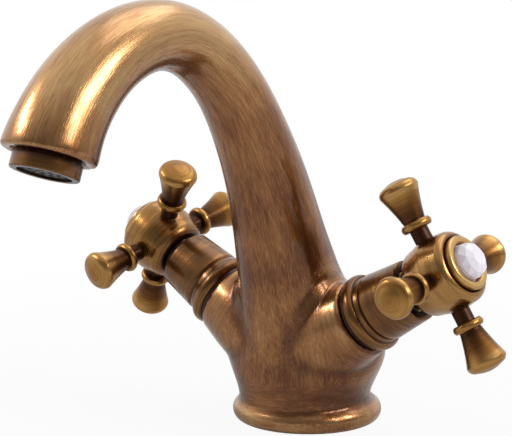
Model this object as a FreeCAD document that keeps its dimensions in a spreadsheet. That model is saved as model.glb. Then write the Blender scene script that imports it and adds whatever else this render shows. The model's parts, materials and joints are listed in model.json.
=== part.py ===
import FreeCAD, Part
import math
import os
import Sketcher

# Two-handle basin mixer with cross handles, modelled at real size in millimetres.
# Frame: the deck is the plane z = 0 and the origin is the middle of the foot, +Z is up,
# the spout reaches towards -Y and the two valves stand out towards -X (hot) and +X (cold).

V = FreeCAD.Vector
doc = FreeCAD.newDocument("cross_handle_tap")

# ------------------------------------------------------------------ driving dimensions
SIZES = {
    # foot and casting
    "foot_radius": 27.0,
    "foot_face_radius": 24.6,
    "foot_bead_middle": 3.3,
    "foot_bead_top": 7.6,
    "foot_bead_top_radius": 24.4,
    "neck_radius": 24.1,
    "neck_height": 12.0,
    "neck_forward": 1.5,
    "column_root": 5.5,
    "column_root_radius": 25.7,
    "hip_radius": 20.9,
    "waist_radius": 17.4,
    "shoulder_radius": 15.2,
    "throat_radius": 12.15,
    "crown_start_radius": 11.2,
    "crown_end_radius": 11.7,
    "spout_end_radius": 15.1,
    "foot_bend_radius": 80.9,
    "column_lean_angle": 19.7,
    "column_length": 41.3,
    "shoulder_bend_radius": 158.0,
    "shoulder_bend_angle": 15.7,
    "throat_bend_radius": 66.5,
    "throat_bend_angle": 25.0,
    "crown_bend_radius": 42.1,
    "crown_bend_angle": 42.0,
    "spout_bend_radius": 56.9,
    "spout_bend_angle": 55.4,
    "mouth_tilt_angle": 21.0,
    "mouth_edge_round": 0.8,
    "station_spacing": 12.0,
    "hip_bulge": 8.0,
    "hip_back": 2.0,
    "hip_length": 34.0,
    "waterway_radius": 8.0,
    "waterway_start": 26.0,
    "port_radius": 3.0,
    # the two branches of the casting that carry the valves: levels run along the valve axis from
    # the middle plane, and the branch lengths are measured back from the boss face
    "valve_tilt_angle": 29.84,
    "valve_forward": 7.8,
    "valve_height": 25.2,
    "branch_root_radius": 18.0,
    "branch_root_back": 3.0,
    "branch_flare_length": 22.5,
    "branch_flare_start_radius": 17.5,
    "branch_middle_length": 14.5,
    "branch_middle_radius": 16.6,
    "branch_taper_length": 5.3,
    "branch_taper_radius": 14.8,
    "boss_radius": 13.7,
    "boss_face": 34.5,
    "seat_at": 17.0,
    "seat_hole_radius": 4.0,
    "seat_hole_depth": 9.0,
    "pocket_radius": 10.9,
    "pocket_thread_length": 6.0,
    # deck side of the casting
    "stud_hole_radius": 3.4,
    "stud_hole_depth": 16.0,
    "inlet_offset": 11.0,
    "inlet_forward": 5.0,
    "inlet_thread_radius": 4.5,
    "inlet_thread_depth": 11.0,
    "inlet_bore_radius": 3.8,
    "base_seal_middle_radius": 21.0,
    "base_seal_width": 3.8,
    "base_seal_height": 2.5,
    # cartridge
    "cartridge_thread_radius": 10.4,
    "cartridge_thread_rise": 9.5,
    "cartridge_tube_radius": 9.6,
    "cartridge_tube_wall": 1.5,
    "cartridge_hex_flats": 17.0,
    "cartridge_hex_length": 6.0,
    "cartridge_nose_radius": 7.4,
    "cartridge_neck_length": 12.5,
    "cartridge_roof_drop": 0.5,
    "window_width": 8.0,
    "window_length": 4.3,
    "seat_seal_height": 2.4,
    "seat_seal_radius": 7.6,
    "seat_seal_width": 3.0,
    "disc_thickness": 3.2,
    "disc_port_radius": 2.3,
    "disc_port_offset": 4.6,
    # spindle
    "gland_radius": 5.0,
    "spline_radius": 4.0,
    "spline_teeth": 20.0,
    "spline_groove": 0.45,
    "spindle_end_drop": 0.9,
    "spindle_collar_radius": 7.4,
    "spindle_collar_length": 2.1,
    "tongue_width": 3.0,
    "tongue_length": 12.0,
    "tongue_depth": 1.6,
    "spindle_ring_cord": 1.8,
    "first_ring_rise": 4.5,
    "ring_spacing": 5.5,
    "circlip_thickness": 1.0,
    "circlip_outer_radius": 6.2,
    "circlip_groove_radius": 4.2,
    "screw_radius": 2.4,
    "screw_head_radius": 4.3,
    "screw_head_height": 2.8,
    "screw_length": 14.0,
    "screw_socket_flats": 4.0,
    "screw_socket_depth": 1.7,
    # trim ring and bonnet
    "ring_groove_radius": 12.5,
    "ring_groove_length": 1.1,
    "ring_radius": 13.9,
    "ring_bead_length": 4.6,
    "ring_nose_radius": 12.3,
    "ring_nose_length": 2.0,
    "bonnet_start_radius": 12.1,
    "bonnet_end_radius": 10.95,
    "bonnet_length": 15.9,
    "bonnet_lip": 1.3,
    "bonnet_lip_step": 0.45,
    "bonnet_end_chamfer": 0.4,
    "bonnet_wall": 1.7,
    "bonnet_hole_radius": 8.2,
    # handle
    "right_parked_angle": 3.7,
    "left_parked_angle": 13.5,
    "hub_neck_radius": 7.4,
    "handle_gap": 0.1,
    "hub_neck_length": 2.5,
    "hub_back_radius": 9.0,
    "hub_back_length": 4.2,
    "hub_back_curve": 4.4,
    "hub_rear_radius": 12.0,
    "hub_rear_length": 5.5,
    "hub_radius": 13.35,
    "hub_side_curve": 33.4,
    "hub_side_length": 6.8,
    "hub_shoulder_radius": 12.75,
    "hub_nose_length": 2.8,
    "hub_front_radius": 10.9,
    "hub_partition": 2.7,
    "hub_recess_radius": 7.7,
    "hub_recess_depth": 3.4,
    "hub_face_bore_radius": 10.0,
    "hub_face_bore_depth": 2.0,
    "stud_radius": 2.4,
    "stud_inner_end": 7.2,
    "spotface_at": 12.7,
    "arm_neck_radius": 3.2,
    "arm_collar_middle": 18.8,
    "arm_collar_radius": 5.45,
    "arm_collar_length": 2.7,
    "arm_waist_radius": 3.85,
    "arm_knob_radius": 7.1,
    "arm_knob_rim": 31.7,
    "arm_flare_radius": 70.0,
    "arm_rim_round": 2.4,
    "arm_rim_length": 2.7,
    "arm_rim_curve": 2.7,
    "arm_tip": 35.4,
    "bezel_radius": 9.7,
    "bezel_height": 2.1,
    "bezel_edge_round": 1.0,
    "bezel_lip_radius": 6.6,
    "bezel_lip_thickness": 1.6,
    "bezel_skirt_length": 3.0,
    "crystal_radius": 6.95,
    "crystal_girdle": 1.1,
    "crystal_crown_radius": 6.5,
    "crystal_middle_radius": 5.5,
    "crystal_table_radius": 3.1,
    "crystal_step_height": 2.5,
    "crystal_middle_height": 4.7,
    "crystal_crown_height": 6.2,
    "crystal_facets": 10.0,
    "index_disc_thickness": 0.7,
    # aerator: lengths run from the mouth plane along the flow
    "aerator_thread_radius": 10.9,
    "aerator_pocket_depth": 9.0,
    "aerator_thread_length": 6.0,
    "aerator_skirt_radius": 10.8,
    "aerator_gap": 0.7,
    "aerator_skirt_length": 5.4,
    "aerator_groove_depth": 0.8,
    "aerator_wall": 1.5,
    "aerator_lip": 0.8,
    "aerator_edge_round": 0.5,
    "aerator_washer_height": 2.0,
    "aerator_washer_width": 2.5,
    "aerator_insert_length": 7.4,
    "aerator_insert_floor": 1.6,
    "aerator_screen_thickness": 1.0,
    "aerator_hole_radius": 0.9,
    "insert_inner_ring": 3.1,
    "insert_outer_ring": 5.8,
    "screen_inner_ring": 2.3,
    "screen_middle_ring": 4.65,
    "screen_outer_ring": 7.05,
    # clearances
    "thread_clearance": 0.05,
    "running_clearance": 0.08,
    "fixed_clearance": 0.03,
    "disc_film": 0.05,
    "end_clearance": 0.3,
}

sheet = doc.addObject("Spreadsheet::Sheet", "Sizes")
for row, (alias, number) in enumerate(SIZES.items(), start=1):
    sheet.set(f"A{row}", alias.replace("_", " "))
    sheet.set(f"B{row}", str(number))
    sheet.setAlias(f"B{row}", alias)
doc.recompute()


class Size:
    """A length that knows its number and the sheet expression behind it."""

    def __init__(self, number, text):
        self.number = number
        self.text = text

    def combine(self, other, sign, swap=False):
        other = other if isinstance(other, Size) else Size(float(other), repr(float(other)))
        first, second = (other, self) if swap else (self, other)
        number = {
            "+": lambda a, b: a + b,
            "-": lambda a, b: a - b,
            "*": lambda a, b: a * b,
            "/": lambda a, b: a / b,
        }[sign](first.number, second.number)
        return Size(number, f"({first.text} {sign} {second.text})")

    def __add__(self, other):
        return self.combine(other, "+")

    def __radd__(self, other):
        return self.combine(other, "+", True)

    def __sub__(self, other):
        return self.combine(other, "-")

    def __rsub__(self, other):
        return self.combine(other, "-", True)

    def __mul__(self, other):
        return self.combine(other, "*")

    def __rmul__(self, other):
        return self.combine(other, "*", True)

    def __truediv__(self, other):
        return self.combine(other, "/")

    def __float__(self):
        return float(self.number)


class Sheet:
    """Reads each named size as an attribute."""

    def __getattr__(self, alias):
        return Size(float(sheet.get(alias)), f"Sizes.{alias}")


class Levels:
    """Heights along the valve axis, each stacked on the one below."""

    def __init__(self):
        self.roof = S.boss_face - S.cartridge_roof_drop
        self.first_ring = self.roof + S.first_ring_rise
        self.thread_end = S.boss_face + S.cartridge_thread_rise
        self.cartridge_end = self.thread_end + S.cartridge_neck_length
        self.bead = S.boss_face + S.ring_groove_length
        self.nose = self.bead + S.ring_bead_length
        self.bonnet = self.nose + S.ring_nose_length
        self.bonnet_end = self.bonnet + S.bonnet_length
        self.hub_neck = self.bonnet_end + S.handle_gap
        self.hub_back = self.hub_neck + S.hub_neck_length
        self.hub_rear = self.hub_back + S.hub_back_length
        self.arm = self.hub_rear + S.hub_rear_length
        self.shoulder = self.arm + S.hub_side_length
        self.hub_front = self.shoulder + S.hub_nose_length
        self.face_floor = self.hub_front - S.hub_face_bore_depth
        self.recess = self.face_floor - S.hub_recess_depth
        self.spindle_end = self.arm - S.spindle_end_drop


S = Sheet()
AT = Levels()
ZERO = Size(0.0, "0")
PARTS = []


def keep(part):
    """Adds a finished sub-part to the list that is checked and written."""
    PARTS.append(part)
    return part


# ------------------------------------------------------------------ places
def valve_frame(side):
    """Origin on the middle plane, Z out along the valve axis; side is +1 (cold) or -1 (hot)."""
    origin = V(0, -S.valve_forward.number, S.valve_height.number)
    return FreeCAD.Placement(origin, FreeCAD.Rotation(V(0, 1, 0), side * (90 - S.valve_tilt_angle.number)))


def handle_frame(side):
    """The valve frame turned to where the handle is parked."""
    turn = S.right_parked_angle.number if side > 0 else -S.left_parked_angle.number
    return valve_frame(side) * FreeCAD.Placement(V(), FreeCAD.Rotation(V(0, 0, 1), turn))


def arm_frame(side, quarter):
    """Z along one arm of the cross, measured from the valve axis."""
    turned = handle_frame(side) * FreeCAD.Placement(V(), FreeCAD.Rotation(V(0, 0, 1), 90 * quarter))
    return turned * FreeCAD.Placement(V(0, 0, AT.arm.number), FreeCAD.Rotation(V(0, 1, 0), 90))


# ------------------------------------------------------------------ modelling helpers
def origin_plane(body, role):
    """One of the body's own origin planes or axes, found by its role."""
    return [item for item in body.Origin.OriginFeatures if item.Role == role][0]


def new_sketch(body, role, offset=None):
    sketch = body.newObject("Sketcher::SketchObject", body.Name + "_sketch")
    sketch.AttachmentSupport = [(origin_plane(body, role), "")]
    sketch.MapMode = "FlatFace"
    if offset is not None:
        sketch.setExpression(".AttachmentOffset.Base.z", offset.text)
    return sketch


def pin_point(sketch, edge, end, across, along):
    """Fixes one end of an edge at the two given sizes."""
    for kind, axis, length in (("DistanceX", -2, across), ("DistanceY", -1, along)):
        if length.number == 0:
            sketch.addConstraint(Sketcher.Constraint("PointOnObject", edge, end, axis))
            continue
        item = sketch.addConstraint(Sketcher.Constraint(kind, -1, 1, edge, end, length.number))
        sketch.setExpression(f"Constraints[{item}]", length.text)


def arc_edge(start, finish, radius, bulge_right):
    """An arc under a half circle from start to finish, and whether it runs anticlockwise."""
    chord = finish - start
    middle = (start + finish) * 0.5
    right = V(chord.y, -chord.x, 0).normalize()
    reach = math.sqrt(radius ** 2 - (chord.Length / 2) ** 2)
    centre = middle - right * reach if bulge_right else middle + right * reach
    angles = [math.atan2(point.y - centre.y, point.x - centre.x) for point in (start, finish)]
    if not bulge_right:
        angles.reverse()
    return Part.ArcOfCircle(Part.Circle(centre, V(0, 0, 1), radius), angles[0], angles[1]), bulge_right


def closed_outline(sketch, points):
    """Draws the outline; a point is (across, along) or, to end an arc, has a radius and a side too.

    The side is "out" where the arc bulges to the right of the walking direction.
    """
    total = len(points)
    ends = []
    for index in range(total):
        here, there = points[index], points[(index + 1) % total]
        start = V(here[0].number, here[1].number, 0)
        finish = V(there[0].number, there[1].number, 0)
        if len(there) == 2:
            sketch.addGeometry(Part.LineSegment(start, finish), False)
            ends.append((1, 2))
            continue
        arc, forward = arc_edge(start, finish, there[2].number, there[3] == "out")
        sketch.addGeometry(arc, False)
        ends.append((1, 2) if forward else (2, 1))
        item = sketch.addConstraint(Sketcher.Constraint("Radius", index, there[2].number))
        sketch.setExpression(f"Constraints[{item}]", there[2].text)
    for index in range(total):
        following = (index + 1) % total
        joint = (index, ends[index][1], following, ends[following][0])
        sketch.addConstraint(Sketcher.Constraint("Coincident", *joint))
    for index, point in enumerate(points):
        pin_point(sketch, index, ends[index][0], point[0], point[1])


def turned(label, points, place):
    """A turned piece: the outline in radius and height, walked with the material on its left."""
    body = doc.addObject("PartDesign::Body", label)
    sketch = new_sketch(body, "XZ_Plane")
    closed_outline(sketch, points)
    revolve = body.newObject("PartDesign::Revolution", label + "_turning")
    revolve.Profile = sketch
    revolve.ReferenceAxis = (sketch, ["V_Axis"])
    revolve.Angle = 360
    body.Placement = place
    doc.recompute()
    return body


def bead(radius, low, length):
    """Two outline points of a round bead that reaches the given radius, with a bulge of a quarter."""
    edge = radius - length / 4
    return [(edge, low), (edge, low + length, length * 0.625, "out")]


def ring(label, inner, outer, low, high, place):
    """A plain turned ring or, with a zero inner radius, a disc."""
    return turned(label, [(inner, low), (outer, low), (outer, high), (inner, high)], place)


def cord_rings(label, middle, cord, levels, place):
    """O-rings of one cord size at the given levels, together in one node."""
    rings = []
    for index, level in enumerate(levels):
        torus = doc.addObject("Part::Torus", f"{label}_{index}")
        torus.setExpression("Radius1", middle.text)
        torus.setExpression("Radius2", f"({cord.text}) / 2")
        torus.setExpression(".Placement.Base.z", level.text)
        rings.append(torus)
    group = doc.addObject("Part::Compound", label)
    group.Links = rings
    group.Placement = place
    return group


def finish_cut(body, sketch, length, outward, copies=1, through=False):
    """A pocket from the sketch, repeated round the body's Z axis; it has to take material away."""
    before = body.Tip.Shape.Volume
    pocket = body.newObject("PartDesign::Pocket", body.Name + "_cut")
    pocket.Profile = sketch
    if through:
        pocket.Type = 1
        pocket.Midplane = True
    else:
        pocket.setExpression("Length", length.text)
        pocket.Reversed = outward
    doc.recompute()
    if copies > 1:
        pattern = body.newObject("PartDesign::PolarPattern", body.Name + "_round")
        pattern.Originals = [pocket]
        pattern.Axis = (origin_plane(body, "Z_Axis"), [""])
        pattern.Angle = 360
        pattern.Occurrences = copies
        body.Tip = pattern
        doc.recompute()
    if not body.Tip.Shape.Volume < before - 1e-6:
        raise RuntimeError(f"{body.Label}: the cut takes nothing away")
    return body


def rectangle(sketch, left, right, low, high):
    closed_outline(sketch, [(left, low), (right, low), (right, high), (left, high)])


def round_hole(sketch, across, along, radius):
    """A circle in a sketch, at the given place."""
    centre = V(across.number, along.number, 0)
    sketch.addGeometry(Part.Circle(centre, V(0, 0, 1), radius.number), False)
    item = sketch.addConstraint(Sketcher.Constraint("Radius", 0, radius.number))
    sketch.setExpression(f"Constraints[{item}]", radius.text)
    pin_point(sketch, 0, 3, across, along)


def rounded(body, radius, spots):
    """A fillet on the circular edges at the given radii and heights."""
    base = body.Tip
    names = []
    for index, edge in enumerate(base.Shape.Edges, start=1):
        if edge.Curve.TypeId != "Part::GeomCircle":
            continue
        for across, along in spots:
            near = abs(edge.Curve.Radius - across.number) < 1e-4
            if near and abs(edge.Curve.Center.z - along.number) < 1e-4:
                names.append(f"Edge{index}")
    if len(names) != len(spots):
        raise RuntimeError(f"{body.Label}: {len(names)} edges found for {len(spots)} rounds")
    fillet = body.newObject("PartDesign::Fillet", body.Name + "_rounds")
    fillet.Base = (base, names)
    fillet.setExpression("Radius", radius.text)
    doc.recompute()
    return body


# ------------------------------------------------------------------ casting
def spout_stations():
    """Walks the spout's centreline in the plane x = 0: (length, y, z, lean, radius) stations.

    The lean is the angle from vertical towards -Y. Each stretch gives its length, its turn and
    the tube's radius where it ends; the radius runs smoothly through those values.
    """
    def bend(radius, angle):
        return radius.number * math.radians(angle.number), math.radians(angle.number)

    half_column = S.column_length.number / 2
    stretches = [
        (*bend(S.foot_bend_radius, S.column_lean_angle), S.hip_radius.number),
        (half_column, 0.0, S.waist_radius.number),
        (half_column, 0.0, S.shoulder_radius.number),
        (*bend(S.shoulder_bend_radius, S.shoulder_bend_angle), S.throat_radius.number),
        (*bend(S.throat_bend_radius, S.throat_bend_angle), S.crown_start_radius.number),
        (*bend(S.crown_bend_radius, S.crown_bend_angle), S.crown_end_radius.number),
        (*bend(S.spout_bend_radius, S.spout_bend_angle), S.spout_end_radius.number),
    ]
    marks = [V(0, S.neck_radius.number, 0)]
    for length, _, radius in stretches:
        marks.append(V(marks[-1].x + length, radius, 0))
    run = Part.BSplineCurve()
    run.interpolate(Points=marks, Parameters=[mark.x for mark in marks])
    along, y, z, lean = 0.0, -S.neck_forward.number, S.neck_height.number, 0.0
    stations = [(S.column_root.number - z, 0.0, S.column_root.number, 0.0, S.column_root_radius.number)]
    stations.append((along, y, z, lean, S.neck_radius.number))
    for length, turn, _ in stretches:
        count = max(2, round(length / S.station_spacing.number))
        piece = length / count
        for _ in range(count):
            middle = lean + turn / count / 2
            chord = piece if turn == 0 else 2 * (piece / (turn / count)) * math.sin(turn / count / 2)
            y -= chord * math.sin(middle)
            z += chord * math.cos(middle)
            lean += turn / count
            along += piece
            stations.append((along, y, z, lean, run.value(along).y))
    return stations


def circle_wire(centre, normal, seam, radius):
    """A circle whose seam points along the given direction."""
    wire = Part.Wire(Part.makeCircle(radius))
    wire.Placement = FreeCAD.Placement(centre, FreeCAD.Rotation(seam, V(), normal, "ZXY"))
    return wire


def station_wire(station, radius):
    """A round section of the tube at a station."""
    _, y, z, lean, _ = station
    normal = V(0, -math.sin(lean), math.cos(lean))
    back = V(0, math.cos(lean), math.sin(lean))
    return circle_wire(V(0, y, z), normal, back, radius)


def column_wire(station):
    """The casting's section at a station: the hips swell sideways and back to meet the branches."""
    along, _, _, lean, radius = station
    share = min(max(along / S.hip_length.number, 0), 1)
    swell = math.sin(math.pi * share) ** 2
    back = S.hip_back.number * swell
    depth = radius + back
    wire = station_wire(station, depth)
    stretch = FreeCAD.Matrix()
    stretch.scale((radius + S.hip_bulge.number * swell) / depth, 1, 1)
    stretch.move(V(0, back * math.cos(lean), back * math.sin(lean)))
    return wire.transformGeometry(stretch)


def mouth_frame():
    """Origin in the middle of the mouth, Z along the flow."""
    _, y, z, lean, radius = spout_stations()[-1]
    tilt = S.mouth_tilt_angle.number
    flow = V(0, -math.sin(math.radians(tilt)), -math.cos(math.radians(tilt)))
    skew = radius * abs(math.tan(math.radians(180 - tilt) - lean))
    along = V(0, -math.sin(lean), math.cos(lean))
    middle = V(0, y, z) - along * (skew + S.mouth_edge_round.number)
    return FreeCAD.Placement(middle, FreeCAD.Rotation(V(1, 0, 0), V(), flow, "ZXY"))


def foot_solid():
    """The foot: a round bead on the deck that runs in under the neck."""
    bead_low = V(S.foot_face_radius.number, 0, 0)
    bead_wide = V(S.foot_radius.number, 0, S.foot_bead_middle.number)
    bead_top = V(S.foot_bead_top_radius.number, 0, S.foot_bead_top.number)
    outline = [
        Part.LineSegment(V(), bead_low).toShape(),
        Part.Arc(bead_low, bead_wide, bead_top).toShape(),
        Part.LineSegment(bead_top, V(0, 0, bead_top.z)).toShape(),
        Part.LineSegment(V(0, 0, bead_top.z), V()).toShape(),
    ]
    return Part.Face(Part.Wire(outline)).revolve(V(), V(0, 0, 1), 360)


def valve_up(side):
    """The direction across the valve axis that points most nearly upwards."""
    tilt = math.radians(S.valve_tilt_angle.number)
    return V(-side * math.sin(tilt), 0, math.cos(tilt))


def valve_branch(side):
    """The branch that carries one valve, with its seam on top.

    It flares in to the column, and its root lies further back than the valve, level with the column.
    """
    place = valve_frame(side)
    out = place.Rotation.multVec(V(0, 0, 1))
    face = S.boss_face.number
    levels = [
        (0.0, S.branch_root_radius.number),
        (face - S.branch_flare_length.number, S.branch_flare_start_radius.number),
        (face - S.branch_middle_length.number, S.branch_middle_radius.number),
        (face - S.branch_taper_length.number, S.branch_taper_radius.number),
        (face, S.boss_radius.number),
    ]
    wires = []
    for level, radius in levels:
        back = V(0, S.branch_root_back.number * (1 - level / face) ** 2, 0)
        wires.append(circle_wire(place.Base + back + out * level, out, valve_up(side), radius))
    return Part.makeLoft(wires, True, False)


def along_axis(place, low, high, radius):
    """A cylinder on the Z axis of a place, between two heights."""
    rod = Part.makeCylinder(radius, high - low, V(0, 0, low))
    rod.Placement = place
    return rod


def casting_outside():
    stations = spout_stations()
    column = Part.makeLoft([column_wire(station) for station in stations], True, False)
    solid = column.fuse([valve_branch(side) for side in (1, -1)])
    place = mouth_frame()
    beyond = Part.makeCylinder(3 * S.spout_end_radius.number, 3 * S.spout_end_radius.number)
    beyond.Placement = place
    solid = solid.cut(beyond)
    rim = [
        edge for edge in solid.Edges
        if (edge.CenterOfMass - place.Base).Length < S.spout_end_radius.number / 3
        and edge.Length > 4 * S.spout_end_radius.number
    ]
    solid = solid.makeFillet(S.mouth_edge_round.number, rim)
    return solid.fuse(foot_solid())


def casting_hollows():
    """Everything that is cored, drilled or tapped in the casting."""
    stations = spout_stations()
    first = [item for item in stations if item[0] > S.waterway_start.number + S.neck_height.number]
    water = Part.makeLoft([station_wire(item, S.waterway_radius.number) for item in first], True, False)
    mouth = mouth_frame()
    hollows = [water]
    bore = S.aerator_thread_radius.number + S.thread_clearance.number
    hollows.append(along_axis(mouth, -S.aerator_pocket_depth.number, 1.0, bore))
    chamber = V(0, first[0][1], first[0][2] + S.waterway_radius.number / 2)
    for side in (1, -1):
        place = valve_frame(side)
        seat = S.seat_at.number
        face = S.boss_face.number
        pocket_end = face - S.pocket_thread_length.number
        seat_floor = seat - S.seat_hole_depth.number
        hollows.append(along_axis(place, seat_floor, seat + 1, S.seat_hole_radius.number))
        hollows.append(along_axis(place, seat, pocket_end, S.pocket_radius.number))
        thread = S.cartridge_thread_radius.number + S.thread_clearance.number
        hollows.append(along_axis(place, seat + 1, face + 1, thread))
        out = place.Rotation.multVec(V(0, 0, 1))
        reach = S.pocket_radius.number - S.port_radius.number
        start = place.Base + out * ((seat + pocket_end) / 2) + valve_up(side) * reach
        run = chamber - start
        hollows.append(Part.makeCylinder(S.port_radius.number, run.Length, start, run))
        mouth_at = V(side * S.inlet_offset.number, -S.inlet_forward.number, 0)
        depth = S.inlet_thread_depth.number
        hollows.append(Part.makeCylinder(S.inlet_thread_radius.number, depth + 1, mouth_at - V(0, 0, 1)))
        tilt = math.radians(S.valve_tilt_angle.number)
        climb = S.valve_height.number + S.inlet_offset.number * math.tan(tilt)
        hollows.append(Part.makeCylinder(S.inlet_bore_radius.number, climb, mouth_at))
    hollows.append(Part.makeCylinder(S.stud_hole_radius.number, S.stud_hole_depth.number + 1, V(0, 0, -1)))
    half = S.base_seal_width.number / 2 + S.fixed_clearance.number
    middle = S.base_seal_middle_radius.number
    groove = Part.makeCylinder(middle + half, S.base_seal_height.number + 1, V(0, 0, -1))
    island = Part.makeCylinder(middle - half, S.base_seal_height.number + 1, V(0, 0, -1))
    hollows.append(groove.cut(island))
    return hollows


def tap_body():
    """One brass casting: foot, column, swan-neck spout and the two branches for the valves."""
    body = doc.addObject("Part::Feature", "tap_body")
    body.Shape = casting_outside().cut(casting_hollows())
    return keep(body)


# ------------------------------------------------------------------ deck seal and aerator
def base_seal():
    half = S.base_seal_width / 2
    keep(ring("base_seal", S.base_seal_middle_radius - half, S.base_seal_middle_radius + half,
              ZERO, S.base_seal_height, FreeCAD.Placement()))


def hole_rings(body, low_plane, holes):
    """Rings of small round holes right through a disc: (ring radius, count) pairs and a middle hole."""
    for distance, count in holes:
        sketch = new_sketch(body, "XY_Plane", low_plane)
        round_hole(sketch, distance, ZERO, S.aerator_hole_radius)
        finish_cut(body, sketch, None, False, count, through=True)


def aerator():
    """The aerator, in a frame that starts at the top of its pocket and has the flow along +Z."""
    lift = S.aerator_pocket_depth
    place = mouth_frame() * FreeCAD.Placement(V(0, 0, -lift.number), FreeCAD.Rotation())
    washer_top = S.aerator_washer_height
    outer = S.aerator_thread_radius
    bore = S.aerator_skirt_radius - S.aerator_wall
    tip = lift + S.aerator_skirt_length
    washer_bore = outer - S.aerator_washer_width
    keep(ring("aerator_washer", washer_bore, outer - S.fixed_clearance, ZERO, washer_top, place))
    groove = outer - S.aerator_groove_depth
    thread_end = washer_top + S.aerator_thread_length
    housing = turned("aerator_housing", [
        (bore, washer_top), (outer, washer_top), (outer, thread_end), (groove, thread_end),
        (groove, lift + S.aerator_gap), (S.aerator_skirt_radius, lift + S.aerator_gap),
        (S.aerator_skirt_radius, tip), (bore - S.aerator_lip, tip),
        (bore - S.aerator_lip, tip - S.aerator_lip), (bore, tip - S.aerator_lip),
    ], place)
    keep(rounded(housing, S.aerator_edge_round, [(S.aerator_skirt_radius, tip)]))
    rim = bore - S.fixed_clearance
    screen_low = tip - S.aerator_lip - S.aerator_screen_thickness
    insert_start = screen_low - S.aerator_insert_length
    wall = rim - S.aerator_insert_floor
    floor_end = insert_start + S.aerator_insert_length / 2
    floor_start = floor_end - S.aerator_insert_floor
    insert = turned("aerator_insert", [
        (wall, insert_start), (rim, insert_start), (rim, screen_low), (wall, screen_low),
        (wall, floor_end), (ZERO, floor_end), (ZERO, floor_start), (wall, floor_start),
    ], place)
    hole_rings(insert, lift, [(S.insert_inner_ring, 6), (S.insert_outer_ring, 10)])
    keep(insert)
    screen = ring("aerator_screen", ZERO, rim, screen_low, tip - S.aerator_lip, place)
    screen_holes = [(S.screen_inner_ring, 5), (S.screen_middle_ring, 10), (S.screen_outer_ring, 16)]
    hole_rings(screen, lift, screen_holes)
    keep(screen)


# ------------------------------------------------------------------ valve: what stays with the body
def disc_levels():
    """Heights of the seat seal and the two ceramic discs along the valve axis."""
    lower = S.seat_at + S.seat_seal_height
    upper = lower + S.disc_thickness + S.disc_film
    return lower, upper, upper + S.disc_thickness


def cartridge(name, place):
    lower, upper, top = disc_levels()
    bore = S.cartridge_tube_radius - S.cartridge_tube_wall
    start = lower - S.seat_seal_height / 2
    thread = S.boss_face - S.pocket_thread_length
    hex_top = AT.thread_end + S.cartridge_hex_length
    corner = S.cartridge_hex_flats / math.sqrt(3)
    gland = S.gland_radius + S.running_clearance
    body = turned(name + "_cartridge_body", [
        (bore, start), (S.cartridge_tube_radius, start),
        (S.cartridge_tube_radius, thread + S.end_clearance),
        (S.cartridge_thread_radius, thread + S.end_clearance),
        (S.cartridge_thread_radius, AT.thread_end), (corner, AT.thread_end),
        (corner, hex_top), (S.cartridge_nose_radius, hex_top),
        (S.cartridge_nose_radius, AT.cartridge_end), (gland, AT.cartridge_end),
        (gland, AT.roof), (bore, AT.roof),
    ], place)
    flats = new_sketch(body, "XY_Plane", AT.thread_end)
    rectangle(flats, S.cartridge_hex_flats / 2, corner + 1, ZERO - corner, corner)
    finish_cut(body, flats, S.cartridge_hex_length, True, 6)
    window = new_sketch(body, "XZ_Plane")
    rectangle(window, ZERO - S.window_width / 2, S.window_width / 2,
              top - S.disc_thickness / 2, top - S.disc_thickness / 2 + S.window_length)
    finish_cut(body, window, None, False, through=True)
    keep(body)
    seal_bore = S.seat_seal_radius - S.seat_seal_width
    keep(ring(name + "_seat_seal", seal_bore, S.seat_seal_radius, S.seat_at, lower, place))
    disc = ring(name + "_lower_disc", ZERO, bore - S.fixed_clearance, lower, upper - S.disc_film, place)
    ports = new_sketch(disc, "XY_Plane", lower)
    round_hole(ports, ZERO, S.disc_port_offset, S.disc_port_radius)
    keep(finish_cut(disc, ports, S.disc_thickness, True, 2))


def trim(name, place):
    """The bead ring that is screwed down on the boss, and the tapered bonnet above it."""
    hole = S.cartridge_thread_radius + S.thread_clearance
    keep(turned(name + "_trim_ring", [
        (hole, S.boss_face), (S.ring_groove_radius, S.boss_face), (S.ring_groove_radius, AT.bead),
        *bead(S.ring_radius, AT.bead, S.ring_bead_length), (S.ring_nose_radius, AT.nose),
        (S.ring_nose_radius - S.bonnet_lip_step, AT.bonnet), (hole, AT.bonnet),
    ], place))
    inside = S.bonnet_start_radius - S.bonnet_wall
    neck = S.bonnet_end_radius - S.bonnet_wall
    hex_end = AT.thread_end + S.cartridge_hex_length + S.end_clearance
    roof = AT.bonnet_end - S.bonnet_wall
    keep(turned(name + "_bonnet", [
        (hole, AT.bonnet), (S.bonnet_start_radius - S.bonnet_lip_step, AT.bonnet),
        (S.bonnet_start_radius, AT.bonnet + S.bonnet_lip),
        (S.bonnet_end_radius, AT.bonnet_end - S.bonnet_end_chamfer),
        (S.bonnet_end_radius - S.bonnet_end_chamfer, AT.bonnet_end), (S.bonnet_hole_radius, AT.bonnet_end),
        (S.bonnet_hole_radius, roof), (neck, roof), (neck, hex_end),
        (inside, hex_end), (inside, AT.thread_end), (hole, AT.thread_end),
    ], place))


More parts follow.
